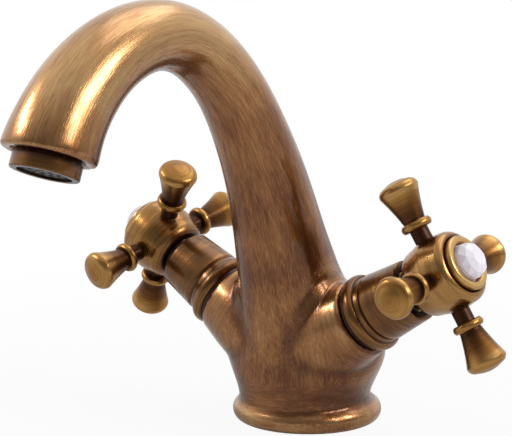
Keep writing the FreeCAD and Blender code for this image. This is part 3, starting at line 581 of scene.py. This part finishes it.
FIRST_ROUNDS = 3
LAST_ROUNDS = 4
WIDE_ROUNDS = 500
ROOT_DEPTH = 0.6 * MM
FOOT_CLEAR = 16 * MM
BORE_CLEAR = 10.8 * MM
POCKET_CLEAR = 12.5 * MM
BRANCH_RADIUS = 24 * MM
BRANCH_CLEAR = 32 * MM


def fill_roots(mesh):
    """Fills the creases where the branches leave the column."""
    points = softened(mesh, coordinates(mesh), FIRST_ROUNDS)
    set_points(mesh, points)
    soft = softened(mesh, points, WIDE_ROUNDS)
    height = lift(mesh, points, soft)
    share = rising(height, 0, ROOT_DEPTH) * rising(points[:, 2], FOOT_CLEAR, 4 * MM)
    _, off = along_line(points[:, 1:], SPOUT)
    share *= np.hypot(points[:, 0], off) > BORE_CLEAR
    for valve in VALVES:
        radius, level, _ = valve_local(valve, points)
        share *= radius > POCKET_CLEAR
        share *= np.where(radius < BRANCH_RADIUS, falling(level, BRANCH_CLEAR, 3 * MM), 1)
    points = points + (soft - points) * share[:, None]
    set_points(mesh, points)
    set_points(mesh, softened(mesh, points, LAST_ROUNDS))
    print("roots filled by up to", round(float((height * share).max()) / MM, 2), "mm")


fill_roots(casting)

# %% [markdown]
# ## Brushing the casting
# The brush was drawn along the column and the spout, but round the foot and the branches, so those
# directions are blended into one grain. The arch, the foot's rim and the upper sides of the branches get
# painted highlight. The column, the neck above the foot, the inside of the bend, the end near the mouth
# and the undersides of the branches get painted shade, and patina stays in the grooves and hollows.

# %% Brushing the casting
FOOT_BRUSHED_TO = 17 * MM
FOOT_REACH = 40 * MM
TURN_RADIUS = 20 * MM
COLUMN_TO = 110 * MM
MOUTH_FROM = 222 * MM
BOSS_RADIUS = 17 * MM
BOSS_RIM = 32.8 * MM
NEAR_ROUNDS = 90
NEAR_DEPTH = 1.5 * MM
WIDE_DEPTH = 5 * MM

# Patina that the brush took off a ridge or left in grooves, hollows and the valve pockets, and painted shade and
# painted highlight in other places.
RIDGE_BARED = -0.22
GROOVE_LEFT = 0.12
# Patina in wide hollows, which also serves as painted shade in the saddles at the branch roots.
HOLLOW_PATINA_AND_SHADE = 0.2
# Painted shade inside the bend of the spout.
BEND_PAINTED_SHADE = 0.5
# Painted highlight: the arch is made lighter.
ARCH_PAINTED_HIGHLIGHT = 0.08
# Painted shade near the mouth.
MOUTH_PAINTED_SHADE = 0.16
BOSS_LEFT = 0.5
# Share of the painted shade and painted highlight by height.
PAINTED_SHADING_SHARE = 0.30

# Painted shade and painted highlight by height: how much browner the column is at some heights above the deck, and
# the branches at others.
COLUMN_HEIGHTS = np.array([0, 11, 14, 20, 26, 42, 58, 80, 110]) * MM
COLUMN_PAINTED_SHADING = [-0.1, 0.2, 0.9, 0.9, 0.3, 0.6, 1.25, 1.1, 1.0]
BRANCH_HEIGHTS = np.array([30, 40, 48]) * MM
BRANCH_PAINTED_SHADING = [1.2, 0.7, -0.2]


def blend(first, second, share):
    return first * (1 - share[:, None]) + second * share[:, None]


def brushed_grain(points, along, off):
    """Two numbers across the brush and one along it, in metres."""
    grain = np.column_stack([points[:, 0], off, along])
    angle = np.arctan2(points[:, 0], -points[:, 1])
    foot = falling(points[:, 2], FOOT_BRUSHED_TO, 5 * MM) * (np.abs(off) < FOOT_REACH)
    grain = blend(grain, np.column_stack([points[:, 2], off * 0.5, angle * TURN_RADIUS]), foot)
    for valve in VALVES:
        radius, level, turn = valve_local(valve, points)
        branch = rising(level, 22 * MM, 6 * MM) * falling(radius, 23 * MM, 3 * MM)
        grain = blend(grain, np.column_stack([level, radius, turn * TURN_RADIUS]), branch)
    return grain


def patina_and_painted_shading(mesh, points, along, off):
    """The patina that the brush left, with painted shade and painted highlight added."""
    height = points[:, 2]
    near = lift(mesh, points, softened(mesh, points, NEAR_ROUNDS))
    wide = lift(mesh, points, softened(mesh, points, WIDE_ROUNDS))
    arch = rising(along, COLUMN_TO, 45 * MM)
    inside_bend = rising(off, 0, 16 * MM)
    # Painted shade and painted highlight by height, on the column and on the branches.
    painted_shading = np.interp(height, COLUMN_HEIGHTS, COLUMN_PAINTED_SHADING)
    for valve in VALVES:
        radius, level, _ = valve_local(valve, points)
        branch = rising(level, 18 * MM, 12 * MM) * falling(radius, 25 * MM, 5 * MM)
        painted_shading = painted_shading * (1 - branch) + branch * np.interp(height, BRANCH_HEIGHTS, BRANCH_PAINTED_SHADING)
    patina = np.clip(near / NEAR_DEPTH, RIDGE_BARED, GROOVE_LEFT)
    # Painted shade and painted highlight by height below the arch; on the arch, painted highlight, and painted
    # shade inside its bend.
    patina += PAINTED_SHADING_SHARE * (1 - arch) * painted_shading + (BEND_PAINTED_SHADE * inside_bend - ARCH_PAINTED_HIGHLIGHT) * arch
    # Patina in wide hollows, also painted shade in the saddles.
    patina += np.clip(wide / WIDE_DEPTH, 0, HOLLOW_PATINA_AND_SHADE)
    # Painted shade near the mouth.
    patina += MOUTH_PAINTED_SHADE * rising(along, MOUTH_FROM, 14 * MM)
    for valve in VALVES:
        radius, level, _ = valve_local(valve, points)
        patina += (radius < BOSS_RADIUS) * BOSS_LEFT * rising(level, BOSS_RIM, 1.6 * MM)
    return patina


def dress_casting(mesh):
    points = coordinates(mesh)
    along, off = along_line(points[:, 1:], SPOUT)
    write_attribute(mesh, "grain", "FLOAT_VECTOR", brushed_grain(points, along, off))
    write_attribute(mesh, "patina", "FLOAT", patina_and_painted_shading(mesh, points, along, off))
    mesh.materials.clear()
    mesh.shade_smooth()
    add_piece("casting", mesh, CAST_BRASS, "body", "antique_brass", "tap_body")


dress_casting(casting)
print("the casting has", [item.name for item in casting.attributes if item.name in ("grain", "patina")])

# %% [markdown]
# ## Trim rings and bonnets
# A bead ring closes each branch of the casting. Brown stays in the grooves before and behind the bead,
# which makes the bead look brighter than it is. The bonnet above it is a plain tapered tube, brushed
# round, with a thin step at its foot.

# %% Trim rings and bonnets
RING_LOW = 34.5
BEAD_LOW = 35.6
BEAD_TOP = 40.2
NOSE_TOP = 42.2
BONNET_TOP = 58.1


def trim_ring(valve):
    outline = [
        (10.5, RING_LOW, 1.0), (12.5, RING_LOW, 1.0), (12.5, BEAD_LOW, 0.9), (12.75, BEAD_LOW, 0.5),
        *bowed((12.75, BEAD_LOW, 0.10), (12.75, BEAD_TOP, 0.10), 1.15, 14),
        (12.3, BEAD_TOP, 0.7), (12.1, BEAD_TOP + 0.7, 0.2), (11.85, NOSE_TOP, 0.2), (10.5, NOSE_TOP, 0.6),
    ]
    node = f"{valve.side}_trim_ring"
    lathe(node + "_turned", node, outline, valve.place, SHADED_BONNET_BRASS, "body", FINE_EDGE_ROUND)


def bonnet(valve):
    outline = [
        (10.5, NOSE_TOP, 0.8), (11.65, NOSE_TOP, 0.4), (12.1, NOSE_TOP + 1.3, 0.1),
        (11.7, NOSE_TOP + 6.0, 0.12), (10.95, BONNET_TOP - 0.4, 0.10), (10.55, BONNET_TOP, 0.1),
        (8.2, BONNET_TOP, 0.7), (8.2, BONNET_TOP - 1.7, 1.0), (8.0, BONNET_TOP - 1.8, 1.0),
    ]
    node = f"{valve.side}_bonnet"
    lathe(node + "_turned", node, outline, valve.place, SHADED_BONNET_BRASS, "body")


for valve in VALVES:
    trim_ring(valve)
    bonnet(valve)

# %% [markdown]
# ## Handle hubs and bezels
# The hub is a short barrel with a swelling side. It is drawn in to its neck at the rear and has a round
# shoulder in front. A narrow dark gap separates it from the bezel that holds the crystal.

# %% Hubs and bezels
HUB_FRONT = 80.0
FACE_FLOOR = 78.0
BEZEL_TOP = 82.1
BEZEL_EDGE_ROUND = 0.2


def hub(valve):
    outline = [
        (4.1, 58.2, 1.0), (7.4, 58.2, 1.0), (7.4, 60.7, 0.9), (9.0, 60.7, 0.5),
        *bowed((9.0, 60.7, 0.35), (12.0, 64.9, 0.05), 0.84, 8),
        *bowed((12.0, 64.9, 0.05), (13.35, 70.4, 0.0), 0.12, 6),
        *bowed((13.35, 70.4, 0.0), (12.75, 77.2, 0.0), 0.12, 6),
        *bowed((12.75, 77.2, 0.0), (10.9, HUB_FRONT, 0.05), 0.5, 8),
        (10.0, HUB_FRONT, 0.5), (10.0, FACE_FLOOR, 1.0), (7.7, FACE_FLOOR, 1.0), (7.7, 74.6, 1.0),
        (4.6, 74.6, 1.0),
    ]
    node = f"{valve.side}_handle_hub"
    lathe(node + "_turned", node, outline, valve.place, TURNED_BRASS, valve.body)


def bezel(valve):
    outline = [
        (6.98, 75.0, 1.0), (7.65, 75.0, 1.0), (7.65, FACE_FLOOR, 1.0), (9.7, FACE_FLOOR, 1.0),
        (9.7, BEZEL_TOP - 1.0, 0.0), *bowed((9.7, BEZEL_TOP - 1.0, -0.1), (8.7, BEZEL_TOP, -0.3), 0.29, 5),
        (7.4, BEZEL_TOP, -0.3), (6.6, BEZEL_TOP - 0.8, 0.1), (6.6, BEZEL_TOP - 1.6, 0.8),
        (6.98, BEZEL_TOP - 1.6, 1.0), (6.98, 75.0, 1.0),
    ]
    node = f"{valve.side}_bezel"
    lathe(node + "_turned", node, outline, valve.place, KNOB_BRASS, valve.body, BEZEL_EDGE_ROUND)


for valve in VALVES:
    hub(valve)
    bezel(valve)

# %% [markdown]
# ## The arms of the cross
# Each arm screws into the hub. It has a dark neck, a bright bead collar and a knob that flares like a
# trumpet and ends in a low dome. The brush ran round it, and baring the collar and the rim left the
# neck and the root of the flare brown.

# %% Cross arms
ARM_ROOT = 10.5
COLLAR_LOW = 17.45
COLLAR_TOP = 20.15
FLARE_TOP = 31.7
ARM_TIP = 35.4


def cross_arm(valve, name):
    outline = [
        (0.0, ARM_ROOT, 1.0), (3.2, ARM_ROOT, 1.0), (3.2, 15.5, 0.9), (3.2, COLLAR_LOW, 0.8),
        (4.75, COLLAR_LOW, 0.3),
        *bowed((4.775, COLLAR_LOW, 0.0), (4.775, COLLAR_TOP, 0.0), 0.675, 10),
        (4.75, COLLAR_TOP, 0.3), (3.85, COLLAR_TOP, 0.7),
        *bowed((3.85, COLLAR_TOP, 0.8), (7.1, FLARE_TOP, -0.15), -0.257, 10),
        *bowed((7.1, FLARE_TOP, -0.1), (4.7, 34.4, 0.0), 0.69, 8),
        *bowed((4.7, 34.4, 0.0), (0.0, ARM_TIP, 0.1), 0.25, 8),
    ]
    node = f"{valve.side}_arm_{name}"
    lathe(node + "_turned", node, outline, valve.arm_place(name), KNOB_BRASS, valve.body, FINE_EDGE_ROUND)


for valve in VALVES:
    for name in ("up", "back", "down", "front"):
        cross_arm(valve, name)

# %% [markdown]
# ## The crystal
# The end of each valve carries a cut crystal. Above its base stand three rings of flat facets, and the
# upper two are turned by half a facet against the one below. Extruding a polygon ring and turning it
# makes exactly that, and flat shading keeps each facet a mirror of its own.

# %% Crystals
FACETS = 10
BASE_RADIUS = 6.9
BASE_LEVEL = 79.4
# Each ring is (radius, level, turn in facets).
CROWN = [(6.9, 80.45, 0.0), (6.5, 80.45, 0.0), (6.5, 83.0, 0.0), (5.5, 85.2, 0.5), (3.1, 86.7, 0.0)]


def crystal(valve):
    builder = bmesh.new()
    base = bmesh.ops.create_circle(builder, cap_ends=False, segments=FACETS, radius=BASE_RADIUS * MM)["verts"]
    bmesh.ops.translate(builder, verts=base, vec=(0, 0, BASE_LEVEL * MM))
    bmesh.ops.contextual_create(builder, geom=base)
    edges = builder.edges[:]
    radius_before, level_before, turn_before = BASE_RADIUS, BASE_LEVEL, 0.0
    for radius, level, turn in CROWN:
        ring = bmesh.ops.extrude_edge_only(builder, edges=edges)["geom"]
        spots = [item for item in ring if isinstance(item, bmesh.types.BMVert)]
        edges = [item for item in ring if isinstance(item, bmesh.types.BMEdge)]
        share = radius / radius_before
        bmesh.ops.scale(builder, verts=spots, vec=(share, share, 1))
        bmesh.ops.translate(builder, verts=spots, vec=(0, 0, (level - level_before) * MM))
        around = Matrix.Rotation(2 * math.pi * (turn - turn_before) / FACETS, 3, "Z")
        bmesh.ops.rotate(builder, verts=spots, cent=(0, 0, 0), matrix=around)
        radius_before, level_before, turn_before = radius, level, turn
    bmesh.ops.contextual_create(builder, geom=edges)
    bmesh.ops.triangulate(builder, faces=[face for face in builder.faces if len(face.verts) == 4])
    bmesh.ops.recalc_face_normals(builder, faces=builder.faces)
    node = f"{valve.side}_crystal"
    mesh = bpy.data.meshes.new(node + "_cut")
    builder.to_mesh(mesh)
    builder.free()
    mesh.transform(valve.place)
    add_piece(node + "_cut", mesh, CRYSTAL, valve.body, "crystal", node)


for valve in VALVES:
    crystal(valve)
print("crystals with", FACETS, "facets a ring")

# %% [markdown]
# ## The aerator sleeve
# A short sleeve screws into the mouth of the spout. It is darker than the spout, with a thin recess
# under the spout's rim. The CAD node gives its place: the middle of its bounding box lies on its axis,
# and the tilt of the mouth gives the direction.

# %% Aerator sleeve
MOUTH_TILT = math.radians(21.0)


def aerator_place():
    """Z along the flow; the origin is the middle of the housing's lowest face."""
    flow = Vector((0, -math.sin(MOUTH_TILT), -math.cos(MOUTH_TILT)))
    side = Vector((1, 0, 0))
    turn = Matrix((side, flow.cross(side), flow)).transposed().to_4x4()
    points = [vertex.co for vertex in frame["nodes"]["aerator_housing"].data.vertices]
    reach = max(point.dot(flow) for point in points)
    low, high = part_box("aerator_housing")
    middle = (low + high) / 2
    end = middle + flow * (reach - middle.dot(flow))
    return Matrix.Translation(end) @ turn


def aerator():
    outline = [
        (9.3, -12.0, 1.0), (10.1, -12.0, 1.0), (10.1, -4.8, 1.0), (10.8, -4.7, 0.6), (10.8, -3.0, 0.15),
        (10.8, -0.5, 0.0), *bowed((10.8, -0.5, 0.0), (10.3, 0.0, 0.3), 0.14, 4), (8.5, 0.0, 0.9),
        (8.5, -0.8, 1.0), (9.3, -0.8, 1.0), (9.3, -12.0, 1.0),
    ]
    lathe("aerator_sleeve", "aerator_housing", outline, aerator_place(), SLEEVE_BRASS, "body")


aerator()

# %% [markdown]
# ## Floor, light and camera
# The studio is plain: a pale floor that takes the tap's shadow, and a white surround. The camera sees
# both as nearly white. The metal mirrors a surround that is dimmer in front of the tap, so the sides
# that face the camera keep their deep brown. A large soft panel above and behind the tap and a
# narrower one at each side draw the long highlights. The camera stands in front and to the right, a
# little higher than the tap, and its long lens hardly narrows what lies farther back.


# %% Studio
TOWARDS_FRONT = (0.75, -0.66, 0.0)
UPWARDS = (0.0, 0.0, 1.0)
DIM_IN_FRONT = 0.74
LESS_DIM_ABOVE = 0.5
LEVEL_ON_MATTE = 0.45
FLOOR_COLOUR = (0.70, 0.70, 0.70, 1)
FLOOR_GLOW = 0.92
FAR_FLOOR_GLOW = 0.08
GLOW_IN_METAL = 0.10
WHITE = (1, 1, 1, 1)
LAMPS_AIM = Vector((0, -0.04, 0.08))


def surround():
    """White where the camera looks; for the metal, white behind the tap and dimmer in front of it."""
    world = bpy.data.worlds.new("white room")
    scene.world = world
    room = Finish(world)
    glossy = room.ray("Glossy")
    way = room.node("ShaderNodeTexCoord", output="Generated")
    front = room.share_towards(way, TOWARDS_FRONT)
    up = room.share_towards(way, UPWARDS)
    dimmed = 1.0 - front.between(-0.35, 0.5) * (DIM_IN_FRONT - up.between(0.6, 0.95) * LESS_DIM_ABOVE)
    level = dimmed * glossy + (1 - glossy) * LEVEL_ON_MATTE
    white = room.ray("Camera").or_more(room.ray("Transmission"))
    strength = level * (1 - white) + white
    background = room.node("ShaderNodeBackground", None, {"Color": WHITE, "Strength": strength})
    room.end(background, "ShaderNodeOutputWorld")


def pale_floor():
    """A matte floor that shows faint shadows through a white glow; far away only the glow is left."""
    builder = bmesh.new()
    bmesh.ops.create_circle(builder, cap_ends=True, segments=96, radius=2.5)
    mesh = bpy.data.meshes.new("floor")
    builder.to_mesh(mesh)
    builder.free()
    finish = Finish(bpy.data.materials.new("pale floor"))
    in_metal = finish.ray("Glossy") * GLOW_IN_METAL
    direct = finish.ray("Camera").or_more(in_metal).or_more(finish.ray("Transmission"))
    away = finish.node("ShaderNodeVectorMath", {"operation": "LENGTH"}, {0: finish.place()}, output="Value")
    share = FLOOR_GLOW + away.between(0.08, 0.40) * FAR_FLOOR_GLOW
    matte = finish.node("ShaderNodeBsdfDiffuse", None, {"Color": FLOOR_COLOUR})
    glow = finish.node("ShaderNodeEmission", None, {"Color": WHITE, "Strength": 1.0})
    finish.end(finish.node("ShaderNodeMixShader", None, {0: direct * share, 1: matte, 2: glow}))
    mesh.materials.append(finish.owner)
    floor = bpy.data.objects.new("floor", mesh)
    scene.collection.objects.link(floor)


def panel(name, place, size, power):
    """A rectangular lamp of this size in metres and power in watts, turned to the tap's middle."""
    light = bpy.data.lights.new(name, "AREA")
    light.shape = "RECTANGLE"
    light.size, light.size_y = size
    light.energy = power
    lamp = bpy.data.objects.new(name, light)
    lamp.location = place
    lamp.rotation_euler = (Vector(place) - LAMPS_AIM).to_track_quat("Z", "Y").to_euler()
    scene.collection.objects.link(lamp)


surround()
pale_floor()
panel("overhead", (0.11, 0.46, 1.05), (0.85, 0.75), 3.0)
panel("right window", (0.84, 0.14, 0.60), (0.62, 0.28), 5.0)
panel("left window", (-0.69, -0.50, 0.73), (0.45, 0.16), 3.0)
print("lamps:", [light.name for light in bpy.data.lights])

# %% Camera
IMAGE_WIDTH = 512
FOCAL_PIXELS = 1774.3
CAMERA_AT = Vector((0.36674, -0.50762, 0.16915))
LOOKS_AT = Vector((-0.01522, -0.01059, 0.07281))

camera_data = bpy.data.cameras.new("camera")
camera_data.sensor_fit = "HORIZONTAL"
camera_data.sensor_width = 36.0
camera_data.lens = FOCAL_PIXELS / IMAGE_WIDTH * camera_data.sensor_width
camera_data.clip_start = 0.02
camera = bpy.data.objects.new("camera", camera_data)
camera.location = CAMERA_AT
camera.rotation_euler = (CAMERA_AT - LOOKS_AT).to_track_quat("Z", "Y").to_euler()
scene.collection.objects.link(camera)
scene.camera = camera
scene.view_settings.view_transform = "Standard"
print("the lens is", round(camera_data.lens, 1), "mm")
